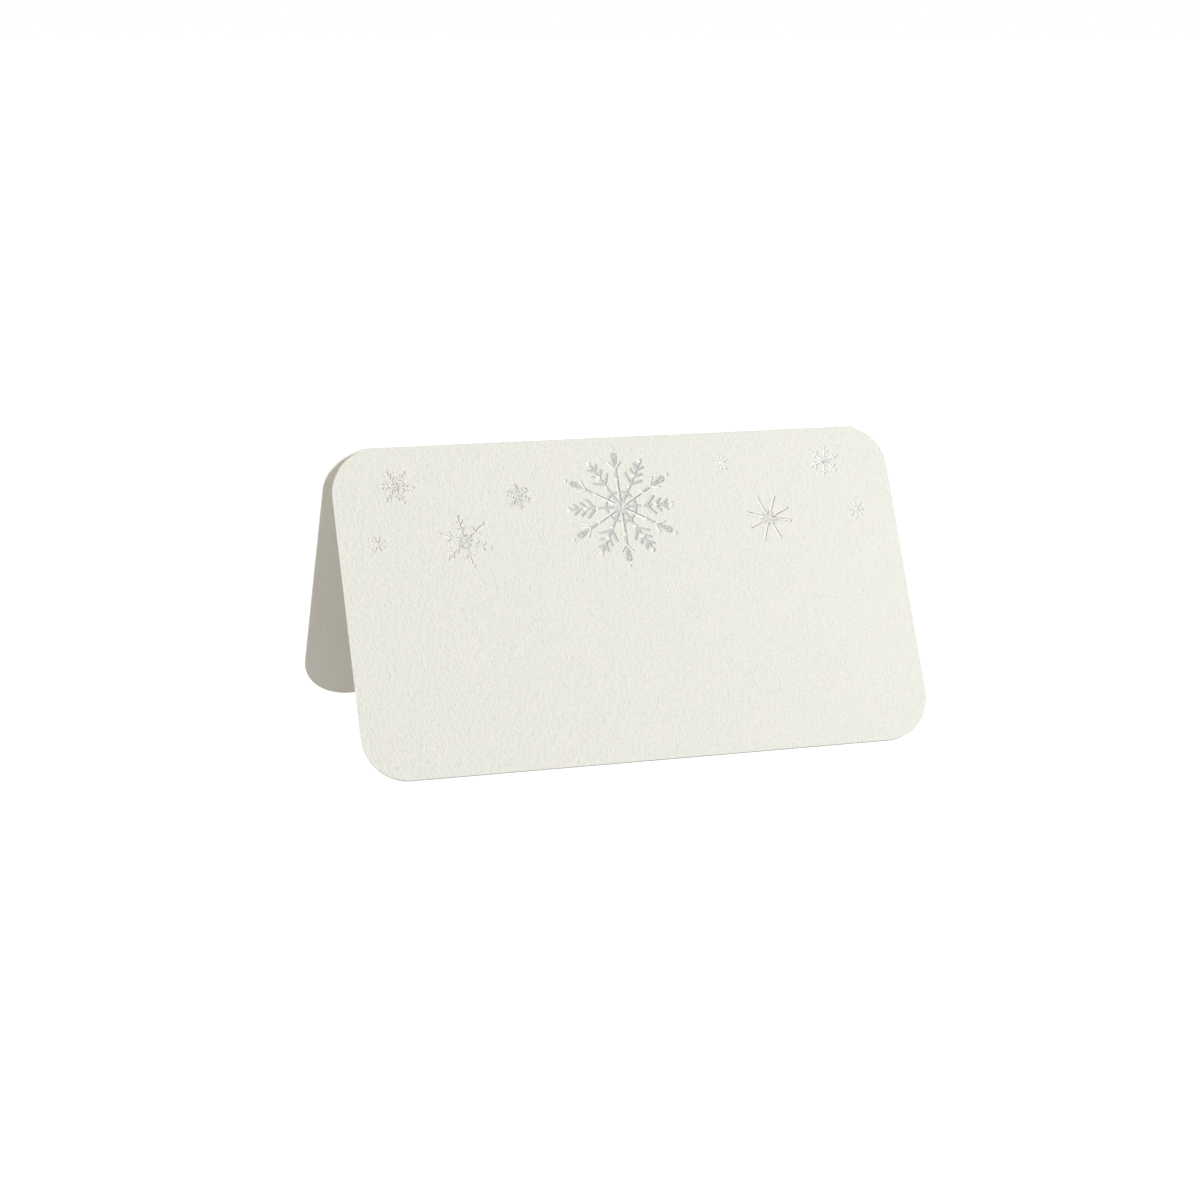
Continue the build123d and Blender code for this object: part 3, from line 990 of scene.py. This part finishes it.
@dataclass(frozen=True)
class Print(ABC):
    """One colour of one snowflake. Millimetres and degrees."""

    name: str
    place: tuple[float, float]
    height: float = 0.14
    crown: float = 1.35
    bead_crown: float = 0.75
    waver: float = 0.16
    unevenness: float = 0.35
    step: float = 0.06
    shift: tuple[float, float] = (0.0, 0.0)

    @abstractmethod
    def arms(self) -> list[Arm]:
        """The drawing's arms, in sets that turn about the centre."""

    def build(self, tree: ReliefTree, leaf: Leaf, material: bpy.types.Material) -> bpy.types.Object:
        """Builds the print as one mesh.

        Args:
            tree: the tree that raises the drawing.
            leaf: the leaf that it lies on.
            material: its finish.

        Returns:
            The piece.
        """
        across, upwards = leaf.card.face_place(*self.place)
        sizes = {name: getattr(self, name) for name in ("crown", "bead_crown", "unevenness")}
        sizes |= {name: getattr(self, name) * MM for name in ("height", "step", "waver")}
        sizes |= {"across": (across + self.shift[0]) * MM, "upwards": (upwards + self.shift[1]) * MM}
        sizes |= leaf.seat()
        made = []
        for arm in self.arms():
            sizes |= {"arms": arm.count, "turn": math.radians(arm.turn)}
            made.append(tree.apply(self.name, arm.plan(), material, **sizes))
        return joined(self.name, made)


def joined(name: str, pieces: Sequence[bpy.types.Object]) -> bpy.types.Object:
    """Joins pieces into one and drops the attributes that only the trees need.

    Args:
        name: the name of the whole.
        pieces: what is joined, all with the same material.

    Returns:
        The joined piece.
    """
    whole = pieces[0]
    merged = bmesh.new()
    for piece in pieces:
        merged.from_mesh(piece.data)
    for piece in pieces[1:]:
        bpy.data.objects.remove(piece)
    merged.to_mesh(whole.data)
    merged.free()
    finish = next(material for material in whole.data.materials if material)
    whole.data.materials.clear()
    whole.data.materials.append(finish)
    whole.data.polygons.foreach_set("material_index", [0] * len(whole.data.polygons))
    if "stroke_width" in whole.data.attributes:
        whole.data.attributes.remove(whole.data.attributes["stroke_width"])
    whole.name = name
    return whole


@dataclass(frozen=True)
class StarFoil(Print):
    """Silver parts of the large star: fir arms, web, shafts and loops."""

    reach: float = 9.4
    turn: float = 0.5
    web_radius: float = 2.42
    web_width: float = 0.42
    web_sides: int = 12
    shaft_width: float = 0.46
    stroke_width: float = 0.42
    loop_radius: float = 0.52
    eye_radius: float = 0.16
    neck_share: float = 0.66
    loop_share: float = 0.872
    tip_share: float = 0.872
    fir_shares: Shares = ((0.436, 0.568, 0.145), (0.580, 0.674, 0.102), (0.705, 0.790, 0.077))

    def arms(self) -> list[Arm]:
        """Six fir arms, six pointed arms between them, and the web."""
        fir = Arm(turn=self.turn)
        fir.stroke((0, 0), (self.tip_share * self.reach, 0), self.stroke_width)
        fir.forks(self.reach, self.fir_shares, self.stroke_width)
        point = Arm(turn=self.turn + 30)
        neck, centre = self.neck_share * self.reach, self.loop_share * self.reach
        wall = self.loop_radius - self.eye_radius
        middle = (self.loop_radius + self.eye_radius) / 2
        point.stroke((0, 0), (neck, 0), self.shaft_width)
        for side in (-1, 1):
            point.stroke((neck, 0), (centre, side * middle), wall)
        point.ring(middle, RING_SIDES, wall, centre)
        web = Arm(count=1, turn=self.turn)
        web.ring(self.web_radius, self.web_sides, self.web_width)
        return [fir, point, web]


@dataclass(frozen=True)
class StarPearl(Print):
    """Pearl parts of the large star: beaded shafts, open Vs and the beads of all arms."""

    reach: float = 9.4
    turn: float = 0.5
    stroke_width: float = 0.43
    root_share: float = 0.11
    shaft_bead_share: float = 0.463
    v_shares: Shares = ((0.633, 0.765, 0.102),)
    fir_bead_shares: tuple[tuple[float, float], ...] = ((0.389, 0.32), (0.594, 0.43), (0.872, 0.43))
    shaft_bead_radius: float = 0.38
    point_bead_radius: float = 0.34

    def arms(self) -> list[Arm]:
        """Six pointed arms and the beads of six fir arms."""
        point = Arm(turn=self.turn + 30)
        root, bead = self.root_share * self.reach, self.shaft_bead_share * self.reach
        point.stroke((root, 0), (bead, 0), self.stroke_width)
        point.bead(bead, self.shaft_bead_radius)
        point.forks(self.reach, self.v_shares, self.stroke_width)
        point.bead(self.reach, self.point_bead_radius)
        fir = Arm(turn=self.turn)
        for share, radius in self.fir_bead_shares:
            fir.bead(share * self.reach, radius)
        return [point, fir]


@dataclass(frozen=True)
class Flake(Print):
    """Snowflake of equal arms, each with pairs of side branches and a bead or without them."""

    reach: float = 1.0
    turn: float = 0.0
    count: int = 6
    stroke_width: float = 0.36
    bead_radius: float = 0.0
    fork_shares: Shares = ()

    def drawn(self, arm: Arm, shares: Shares) -> Arm:
        """Draws an arm with its side branches and its bead.

        Args:
            arm: the empty arm.
            shares: its side branches.

        Returns:
            The arm.
        """
        arm.stroke((0, 0), (self.reach, 0), self.stroke_width)
        arm.forks(self.reach, shares, self.stroke_width)
        if self.bead_radius:
            arm.bead(self.reach, self.bead_radius)
        return arm

    def arms(self) -> list[Arm]:
        """The equal arms."""
        return [self.drawn(Arm(self.count, self.turn), self.fork_shares)]


@dataclass(frozen=True)
class Fern(Flake):
    """Small snowflake with two pairs of side branches and a bead on each arm."""

    reach: float = 2.72
    turn: float = -6.4
    stroke_width: float = 0.34
    bead_radius: float = 0.31
    fork_shares: Shares = ((0.35, 0.51, 0.20), (0.57, 0.73, 0.16))


@dataclass(frozen=True)
class Branch(Flake):
    """Beaded snowflake whose arms carry two pairs of side branches and one pair in turn."""

    reach: float = 3.95
    turn: float = -18.7
    count: int = 3
    bead_radius: float = 0.37
    fork_shares: Shares = ((0.38, 0.53, 0.13), (0.66, 0.80, 0.145))
    bare_shares: Shares = ((0.51, 0.64, 0.18),)

    def arms(self) -> list[Arm]:
        """Three full arms and three bare ones."""
        return super().arms() + [self.drawn(Arm(self.count, self.turn + 60), self.bare_shares)]


@dataclass(frozen=True)
class Crystal(Flake):
    """Small snowflake of six short arms, thick with side branches."""

    reach: float = 1.82
    turn: float = -20.9
    fork_shares: Shares = ((0.50, 0.70, 0.22), (0.78, 0.96, 0.17))


@dataclass(frozen=True)
class Spark(Flake):
    """Smallest kind of snowflake: eight plain short rays."""

    reach: float = 1.15
    count: int = 8
    stroke_width: float = 0.33


@dataclass(frozen=True)
class Burst(Print):
    """Plain rays with rounded tips, spaced a little unevenly."""

    reach: float = 3.5
    stroke_width: float = 0.47
    bead_radius: float = 0.3
    ray_turns: tuple[float, ...] = (24.6, 67.9, 113.7, 164.0, 203.6, 250.0, 293.3, 350.2)

    def arms(self) -> list[Arm]:
        """All the rays as one drawing."""
        rays = Arm(count=1)
        for turn in self.ray_turns:
            angle = math.radians(turn)
            along, across = self.reach * math.cos(angle), self.reach * math.sin(angle)
            rays.stroke((0, 0), (along, across), self.stroke_width)
            rays.bead(along, self.bead_radius, across)
        return [rays]


@dataclass(frozen=True)
class Wheel(Print):
    """Barbed arms around a ring, with a small bead between each two arms."""

    reach: float = 2.4
    turn: float = 19.1
    stroke_width: float = 0.38
    ring_radius: float = 0.62
    ring_width: float = 0.24
    bead_radius: float = 0.16
    fork_shares: Shares = ((0.65, 0.72, 0.20),)

    def arms(self) -> list[Arm]:
        """Six arms, six beads and the ring."""
        arm = Arm(turn=self.turn)
        arm.stroke((self.ring_radius, 0), (self.reach, 0), self.stroke_width)
        arm.forks(self.reach, self.fork_shares, self.stroke_width)
        between = Arm(turn=self.turn + 30)
        between.bead(self.ring_radius + self.ring_width / 2, self.bead_radius)
        ring = Arm(count=1)
        ring.ring(self.ring_radius, RING_SIDES, self.ring_width)
        return [arm, between, ring]


# Glitter


class DropTree(ShapeTree):
    """Low drops with a wandering outline, one on each point of a plan."""

    ROUNDNESS = 0.7
    FINENESS = 1.7
    SINK = 0.003 * MM
    SIDES, RINGS = 40, 16

    def __init__(self) -> None:
        """Builds the tree. All lengths are in metres and angles in radians."""
        super().__init__("Glue drops")
        plan = self.takes("Plan", Port.SHAPE)
        height, wander = self.numbers("Height", "Wander")
        feeds = {"Segments": self.SIDES, "Rings": self.RINGS, "Radius": 1.0}
        ball = self.add("GeometryNodeMeshUVSphere", feeds).outputs[0]
        x, y, z = self.xyz()
        dome = self.moved_to(ball, x * 0.5, y * 0.5, z.at_least(0.0) ** self.ROUNDNESS)
        dots = self.add("GeometryNodeMeshToPoints", {"Mesh": plan}, mode="VERTICES").outputs[0]
        across = self.scaled((1.0, 1.0, 0.0), self.named("stroke_width"))
        scale = self.vector_math("ADD", across, (0.0, 0.0, 1.0))
        drops = self.realized(self.instances(dots, dome, scale=scale))
        x, y, z = self.xyz()
        push_x, push_y = self.wander(self.scaled(self.vector(x, y), 1 / MM), self.FINENESS, wander)
        self.finish(self.seated(self.moved_to(drops, x + push_x, y + push_y, z * height - self.SINK)))


class FleckTree(ShapeTree):
    """Small six-sided flecks scattered over drops of glue, tilted and sized at random."""

    MOST_PER_AREA = 6e7
    LEAST_FACING = 0.25
    SIZES = (0.6, 1.15)

    def __init__(self) -> None:
        """Builds the tree. All lengths are in metres and angles in radians."""
        super().__init__("Glitter flecks")
        drops = self.takes("Drops", Port.SHAPE)
        radius, thickness = self.numbers("Fleck Radius", "Fleck Thickness")
        spacing, slope = self.numbers("Spacing", "Slope")
        seed = self.takes("Seed", Port.COUNT)
        feeds = {0: self.add("GeometryNodeInputNormal").outputs[0], 1: self.vector(0.0, *self.leaf_normal())}
        facing = self.out(self.add("ShaderNodeVectorMath", feeds, operation="DOT_PRODUCT"), "Value")
        feeds = {
            "Mesh": drops,
            "Selection": facing.above(self.LEAST_FACING),
            "Distance Min": spacing,
            "Density Max": self.MOST_PER_AREA,
            "Density Factor": 1.0,
            "Seed": seed,
        }
        scatter = self.add("GeometryNodeDistributePointsOnFaces", feeds, distribute_method="POISSON")
        points = self.store(scatter.outputs["Points"], "fleck_tone", self.random(0.0, 1.0, seed))
        feeds = {"Vertices": 6, "Radius": radius}
        plate = self.add("GeometryNodeMeshCircle", feeds, fill_type="NGON").outputs[0]
        feeds = {"Mesh": plate, "Offset Scale": thickness}
        plate = self.add("GeometryNodeExtrudeMesh", feeds, mode="FACES").outputs["Mesh"]
        swing = self.vector(
            self.random(-1.0, 1.0, seed + 3.0) * slope,
            self.random(-1.0, 1.0, seed + 5.0) * slope,
            self.random(0.0, 6.3, seed + 7.0),
        )
        feeds = {"Rotation": scatter.outputs["Rotation"], "Rotate By": swing}
        turned = self.add("FunctionNodeRotateRotation", feeds, rotation_space="LOCAL").outputs[0]
        size = self.random(*self.SIZES, seed + 11.0)
        self.finish(self.instances(points, plate, turned, self.vector(size, size, 1.0)), sharp_above=30)

    @staticmethod
    def leaf_normal() -> tuple[float, float]:
        """Y and Z of the front leaf's outward normal."""
        lean = math.radians(Card().lean)
        return -math.cos(lean), math.sin(lean)

    def random(self, low: float, high: float, seed: Feed) -> Field:
        """A random number for each point, the same in each run."""
        feeds = {"Min": low, "Max": high, "Seed": seed}
        return self.out(self.add("FunctionNodeRandomValue", feeds, data_type="FLOAT"), "Value")


@dataclass(frozen=True)
class Glitter:
    """Glitter in drops of clear glue over the hubs. Millimetres."""

    hubs: tuple[tuple[tuple[float, float], float], ...]
    glue_height: float = 0.16
    wander: float = 0.8
    fleck_radius: float = 0.11
    fleck_thickness: float = 0.015
    spacing: float = 0.13
    slope: float = 0.28
    seed: int = 4

    def build(self, leaf: Leaf, glue: bpy.types.Material, film: bpy.types.Material) -> list[bpy.types.Object]:
        """Builds the drops and the flecks.

        Args:
            leaf: the leaf that they lie on.
            glue: the drops' finish.
            film: the flecks' finish.

        Returns:
            The two pieces.
        """
        plan = Arm()
        for place, radius in self.hubs:
            across, upwards = leaf.card.face_place(*place)
            plan.bead(across, radius, upwards)
        sizes = {"height": self.glue_height * MM, "wander": self.wander * MM, **leaf.seat()}
        drops = DropTree().apply("glue_drops", plan.plan(), glue, **sizes)
        sizes = {name: getattr(self, name) * MM for name in ("fleck_radius", "fleck_thickness", "spacing")}
        sizes |= {"slope": self.slope, "seed": self.seed}
        flecks = FleckTree().apply("glitter_flecks", drops.data.copy(), film, **sizes)
        return [joined("glue_drops", [drops]), joined("glitter_flecks", [flecks])]


# Studio


@dataclass(frozen=True)
class Softbox:
    """A square lamp with a soft light. Metres and watts."""

    name: str
    place: tuple[float, float, float]
    size: float
    power: float
    aim: tuple[float, float, float] = (0.0, 0.0, 0.02)

    def build(self) -> bpy.types.Object:
        """Builds the lamp."""
        data = bpy.data.lights.new(self.name, "AREA")
        data.shape = "SQUARE"
        data.size = self.size
        data.energy = self.power
        lamp = placed(self.name, data)
        lamp.location = self.place
        lamp.rotation_mode = "QUATERNION"
        lamp.rotation_quaternion = (Vector(self.aim) - Vector(self.place)).to_track_quat("-Z", "Y")
        lamp.visible_glossy = False
        return lamp


@dataclass(frozen=True)
class Viewpoint:
    """The photograph's camera. Degrees and millimetres."""

    yaw: float = 17.47
    pitch: float = 13.52
    roll: float = 0.46
    target: tuple[float, float, float] = (-1.69, 0.0, 18.95)
    distance: float = 394.6
    sensor: float = 36
    focal_share: float = 2531 / 1200

    def build(self) -> bpy.types.Object:
        """Builds the camera."""
        yaw, pitch, roll = (math.radians(a) for a in (self.yaw, self.pitch, self.roll))
        back = Vector((-math.sin(yaw) * math.cos(pitch), -math.cos(yaw) * math.cos(pitch), math.sin(pitch)))
        right = Vector((math.cos(yaw), -math.sin(yaw), 0))
        up = back.cross(right)
        turned_right = right * math.cos(roll) + up * math.sin(roll)
        turned_up = up * math.cos(roll) - right * math.sin(roll)
        data = bpy.data.cameras.new("camera")
        data.sensor_width = self.sensor
        data.lens = self.sensor * self.focal_share
        data.clip_start = 0.01
        camera = placed("camera", data)
        turn = Matrix((turned_right, turned_up, back)).transposed().to_4x4()
        camera.matrix_world = Matrix.Translation((Vector(self.target) + back * self.distance) * MM) @ turn
        bpy.context.scene.camera = camera
        return camera


@dataclass(frozen=True)
class Studio:
    """Floor, world, lamps and a dark card that only gloss sees."""

    floor_half: float = 6.0
    floor_tone: float = 0.45
    floor_glow: float = 0.84
    fill: float = 0.425
    dark_distance: float = 0.3
    dark_lift: float = 0.03
    dark_tone: float = 0.02
    dark_fields: tuple[tuple[float, float, float, float], ...] = (
        (42, 66, -45, 20),
        (66, 155, -45, 66),
        (28, 42, -45, -8),
    )
    lamps: tuple[Softbox, ...] = (
        Softbox("key_softbox", (-2.46, -1.5, 0.83), 0.7, 52.0),
        Softbox("top_softbox", (-0.1, -0.35, 0.93), 0.4, 1.95),
        Softbox("right_softbox", (0.24, -0.1, 0.07), 0.1, 0.18),
        Softbox("back_softbox", (0.4, 1.3, 0.75), 0.6, 6.0),
    )

    @staticmethod
    def seen_share(graph: Graph) -> Field:
        """One for rays that show the white ground: straight from the camera, by gloss or through glass."""
        path = graph.add("ShaderNodeLightPath")
        rays = [graph.out(path, f"Is {kind} Ray") for kind in ("Camera", "Glossy", "Transmission")]
        return rays[0].at_least(rays[1]).at_least(rays[2])

    def floor(self) -> bpy.types.Object:
        """Builds the pale floor, which keeps a faint shadow."""
        mesh = bpy.data.meshes.new("floor")
        half = self.floor_half
        corners = [(-half, -half, 0), (half, -half, 0), (half, half, 0), (-half, half, 0)]
        mesh.from_pydata(corners, [], [(0, 1, 2, 3)])
        material = bpy.data.materials.new("tabletop")
        graph = emptied(material)
        matt = graph.add("ShaderNodeBsdfDiffuse", {"Color": (*[self.floor_tone] * 3, 1)})
        glow = graph.add("ShaderNodeEmission", {"Strength": self.seen_share(graph) * self.floor_glow})
        both = graph.add("ShaderNodeAddShader", {0: matt.outputs[0], 1: glow.outputs[0]})
        graph.add("ShaderNodeOutputMaterial", {"Surface": both.outputs[0]})
        mesh.materials.append(material)
        return placed("floor", mesh)

    def dark_card(self) -> bpy.types.Object:
        """Builds the dark card, bent around the right-hand side, that darkens each stroke's right flank.

        Returns:
            The card, which only gloss sees.
        """
        points, faces = [], []
        for first, last, low, high in self.dark_fields:
            start, across, upwards = len(points), 12, 8
            for i in range(across + 1):
                turn = math.radians(first + (last - first) * i / across)
                for j in range(upwards + 1):
                    rise = math.radians(low + (high - low) * j / upwards)
                    level = math.cos(rise)
                    way = Vector((math.sin(turn) * level, -math.cos(turn) * level, math.sin(rise)))
                    to_floor = (MM - self.dark_lift) / way.z if way.z < 0 else self.dark_distance
                    points.append(way * min(self.dark_distance, to_floor))
            for i in range(across):
                for j in range(upwards):
                    corner = start + i * (upwards + 1) + j
                    faces.append((corner, corner + upwards + 1, corner + upwards + 2, corner + 1))
        mesh = bpy.data.meshes.new("dark_card")
        mesh.from_pydata(points, [], faces)
        card = placed("dark_card", mesh)
        card.location.z = self.dark_lift
        card.visible_camera = card.visible_diffuse = card.visible_shadow = card.visible_transmission = False
        material = bpy.data.materials.new("dark_card")
        material.use_nodes = True
        shader = material.node_tree.nodes["Principled BSDF"]
        shader.inputs["Base Color"].default_value = (*[self.dark_tone] * 3, 1)
        mesh.materials.append(material)
        return card

    def world(self) -> None:
        """Builds the world: plain fill light, and white where it is seen."""
        world = bpy.data.worlds.new("studio")
        bpy.context.scene.world = world
        graph = emptied(world)
        strength = self.seen_share(graph) * (1 - self.fill) + self.fill
        ground = graph.add("ShaderNodeBackground", {"Color": (1, 1, 1, 1), "Strength": strength})
        graph.add("ShaderNodeOutputWorld", {"Surface": ground.outputs[0]})

    def build(self) -> None:
        """Builds the whole studio."""
        self.floor()
        self.dark_card()
        self.world()
        for lamp in self.lamps:
            lamp.build()
        Viewpoint().build()
        bpy.context.scene.view_settings.view_transform = "Standard"


# The place card


@dataclass(frozen=True)
class PlaceCard:
    """The whole object."""

    card: Card = Card()
    star_place: Point = (-0.006, 0.222)
    fern_place: Point = (-0.788, 0.124)
    branch_place: Point = (-0.571, 0.301)
    crystal_place: Point = (-0.368, 0.172)
    left_spark_place: Point = (-0.870, 0.296)
    burst_place: Point = (0.524, 0.282)
    wheel_place: Point = (0.764, 0.109)
    high_spark_place: Point = (0.383, 0.100)
    right_spark_place: Point = (0.854, 0.270)

    def foil_print(self) -> StarFoil:
        """The silver print."""
        return StarFoil("star_foil", self.star_place, height=0.11, crown=0.75, waver=0.1, unevenness=0.15)

    def pearl_prints(self) -> list[Print]:
        """The pearl prints in full ink: the star's and the burst."""
        return [
            StarPearl("star_pearl", self.star_place, shift=(-0.14, 0.0), height=0.15),
            Burst("burst_flake", self.burst_place),
        ]

    def right_prints_painted_light(self) -> list[Print]:
        """The pearl prints in the whiter ink, painted light: the wheel and the sparks on the right."""
        return [
            Wheel("wheel_flake", self.wheel_place, height=0.11, crown=1.0),
            Spark("high_spark", self.high_spark_place, reach=1.05, turn=30.0, height=0.11, crown=1.0),
            Spark("right_spark", self.right_spark_place, reach=1.28, height=0.11, crown=1.0),
        ]

    def left_prints_painted_shade(self) -> list[Print]:
        """The pearl prints in the darker ink, painted shade, on the left."""
        return [
            Fern("fern_flake", self.fern_place),
            Branch("branch_flake", self.branch_place),
            Crystal("crystal_flake", self.crystal_place),
            Spark("left_spark", self.left_spark_place, turn=20.0),
        ]

    def glitter(self) -> Glitter:
        """The glitter."""
        hubs = (
            (self.star_place, 1.15),
            (self.fern_place, 0.85),
            (self.branch_place, 1.15),
            (self.crystal_place, 1.05),
            (self.burst_place, 1.2),
            (self.wheel_place, 0.42),
        )
        return Glitter(hubs)

    @staticmethod
    def keep(piece: bpy.types.Object, node: str, slot: Slot) -> None:
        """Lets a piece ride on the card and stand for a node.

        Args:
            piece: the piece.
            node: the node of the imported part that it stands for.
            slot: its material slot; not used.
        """
        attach(piece, BODY)
        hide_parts(node)
        triangles = sum(len(face.vertices) - 2 for face in piece.data.polygons)
        log.info("%s stands for %s, %d triangles", piece.name, node, triangles)

    def build(self) -> None:
        """Builds and dresses every piece."""
        marks, ripple = FeltMarks(), Ripple()
        leaf, tree = Leaf(self.card), ReliefTree()
        self.keep(self.card.build(CardStock(marks).make()), "card", Slot.CARD_STOCK)
        foil = self.foil_print().build(tree, leaf, SilverFoil(ripple).make())
        self.keep(foil, "silver_foil", Slot.SILVER_FOIL)
        inked = (
            (self.pearl_prints(), PearlInk(ripple)),
            # The whiter ink on the right is painted light.
            (self.right_prints_painted_light(), PearlInkPaintedLight(ripple)),
            # The darker ink on the left is painted shade.
            (self.left_prints_painted_shade(), PearlInkPaintedShade(ripple)),
        )
        for prints, ink in inked:
            material = ink.make()
            for pearl_print in prints:
                self.keep(pearl_print.build(tree, leaf, material), "pearl_relief", Slot.PEARL_INK)
        for piece in self.glitter().build(leaf, ClearGlue(ripple).make(), FleckFilm(ripple).make()):
            self.keep(piece, "glitter", Slot.GLITTER)


def main(studio: Studio = Studio()) -> None:
    """Builds the studio and the place card.

    Args:
        studio: the floor, light and camera.
    """
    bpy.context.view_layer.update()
    studio.build()
    PlaceCard().build()


if __name__ == "__main__":
    main()
